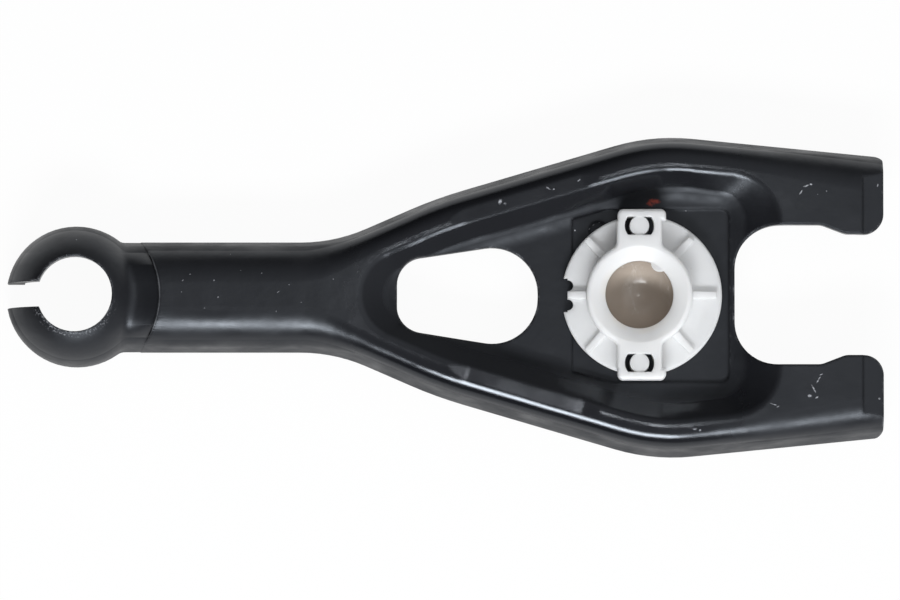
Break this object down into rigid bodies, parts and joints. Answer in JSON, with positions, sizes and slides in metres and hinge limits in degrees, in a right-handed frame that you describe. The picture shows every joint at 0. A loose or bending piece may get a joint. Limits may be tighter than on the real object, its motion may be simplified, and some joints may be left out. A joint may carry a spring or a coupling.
{
  "type": "clutch fork",
  "caption": "Pressed steel clutch release fork with a slotted domed cable eye, a moulded ball socket and open prongs.",
  "frame": {"origin": "on the pivot axis, in the middle of the straight mouth of the ball socket", "axes": "+X towards the prong tips, +Z out of the ball socket, +Y to the left when looking along +X with the socket up"},
  "size_m": [0.2181, 0.08, 0.0193],
  "materials": {
    "body_paint": "gloss black dip paint",
    "retainer_plastic": "white moulded polyamide",
    "seat_plastic": "brown-grey, greased"
  },
  "bodies": {
    "root": {"fork_body": "body_paint", "pivot_retainer": "retainer_plastic", "ball_seat": "seat_plastic"}
  },
  "joints": []
}
